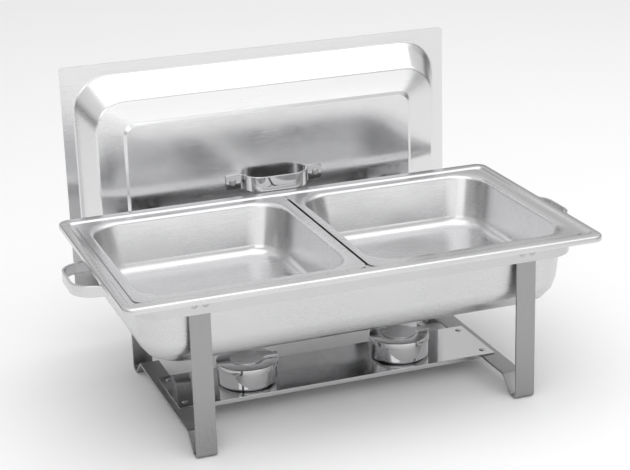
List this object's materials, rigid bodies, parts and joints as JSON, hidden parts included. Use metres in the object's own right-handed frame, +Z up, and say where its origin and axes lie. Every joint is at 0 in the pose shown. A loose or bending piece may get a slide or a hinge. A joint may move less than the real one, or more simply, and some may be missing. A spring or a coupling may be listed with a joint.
{
  "type": "rectangular chafing dish",
  "caption": "Rectangular steel chafing dish on a strip stand, with half-size food pans, a water pan, fuel holders on a shelf and a domed lid standing upright behind.",
  "frame": {"origin": "middle of the footprint of the whole object, lid included, on the table under it", "axes": "+X along the length to the right of a person at the serving side, -Y towards that person, +Z up"},
  "size_m": [0.6446, 0.4278, 0.381],
  "materials": {
    "mirror": "mirror-polished stainless steel",
    "satin": "satin stainless steel",
    "strip": "dull rolled stainless strip",
    "fastener": "plain stainless"
  },
  "bodies": {
    "stand": {"frame_band": "strip", "fuel_shelf": "mirror", "rack_channel": "satin", "left_leg_frame": "strip", "left_end_handle": "satin", "left_rack_arm": "strip", "left_rack_upper_rivet": "fastener", "left_rack_lower_rivet": "fastener", "front_left_leg_outer_rivet": "fastener", "front_left_leg_inner_rivet": "fastener", "front_left_handle_rivet": "fastener", "front_left_shelf_rivet": "fastener", "rear_left_leg_outer_rivet": "fastener", "rear_left_leg_inner_rivet": "fastener", "rear_left_handle_rivet": "fastener", "rear_left_shelf_rivet": "fastener", "right_leg_frame": "strip", "right_end_handle": "satin", "right_rack_arm": "strip", "right_rack_upper_rivet": "fastener", "right_rack_lower_rivet": "fastener", "front_right_leg_outer_rivet": "fastener", "front_right_leg_inner_rivet": "fastener", "front_right_handle_rivet": "fastener", "front_right_shelf_rivet": "fastener", "rear_right_leg_outer_rivet": "fastener", "rear_right_leg_inner_rivet": "fastener", "rear_right_handle_rivet": "fastener", "rear_right_shelf_rivet": "fastener"},
    "water_pan": {"water_pan": "satin"},
    "food_pan_left": {"food_pan_left": "satin"},
    "food_pan_right": {"food_pan_right": "satin"},
    "lid": {"lid": "mirror", "lid_handle": "mirror", "lid_handle_left_screw": "fastener", "lid_handle_right_screw": "fastener", "lid_handle_left_nut": "fastener", "lid_handle_right_nut": "fastener"},
    "left_fuel_holder": {"left_fuel_cup": "mirror"},
    "left_holder_cover": {"left_cup_cover": "mirror", "left_damper_rivet": "fastener"},
    "left_holder_damper": {"left_damper": "satin"},
    "right_fuel_holder": {"right_fuel_cup": "mirror"},
    "right_holder_cover": {"right_cup_cover": "mirror", "right_damper_rivet": "fastener"},
    "right_holder_damper": {"right_damper": "satin"}
  },
  "joints": [
    {"name": "water_pan_lift", "type": "slide", "parent": "stand", "child": "water_pan", "axis": [0, 0, 1], "range_m": [0, 0.12]},
    {"name": "food_pan_left_lift", "type": "slide", "parent": "water_pan", "child": "food_pan_left", "axis": [0, 0, 1], "range_m": [0, 0.12]},
    {"name": "food_pan_right_lift", "type": "slide", "parent": "water_pan", "child": "food_pan_right", "axis": [0, 0, 1], "range_m": [0, 0.12]},
    {"name": "lid_lift", "type": "slide", "parent": "stand", "child": "lid", "axis": [0, 0, 1], "range_m": [0, 0.25]},
    {"name": "left_fuel_holder_slide", "type": "slide", "parent": "stand", "child": "left_fuel_holder", "axis": [0, -1, 0], "range_m": [0, 0.2]},
    {"name": "left_cover_lift", "type": "slide", "parent": "left_fuel_holder", "child": "left_holder_cover", "axis": [0, 0, 1], "range_m": [0, 0.03]},
    {"name": "left_damper_swing", "type": "hinge", "parent": "left_holder_cover", "child": "left_holder_damper", "pos_m": [-0.108, -0.0219, 0.054], "axis": [0, 0, 1], "range_deg": [0, 100]},
    {"name": "right_fuel_holder_slide", "type": "slide", "parent": "stand", "child": "right_fuel_holder", "axis": [0, -1, 0], "range_m": [0, 0.2]},
    {"name": "right_cover_lift", "type": "slide", "parent": "right_fuel_holder", "child": "right_holder_cover", "axis": [0, 0, 1], "range_m": [0, 0.03]},
    {"name": "right_damper_swing", "type": "hinge", "parent": "right_holder_cover", "child": "right_holder_damper", "pos_m": [0.095, -0.0219, 0.054], "axis": [0, 0, 1], "range_deg": [0, 100]}
  ]
}
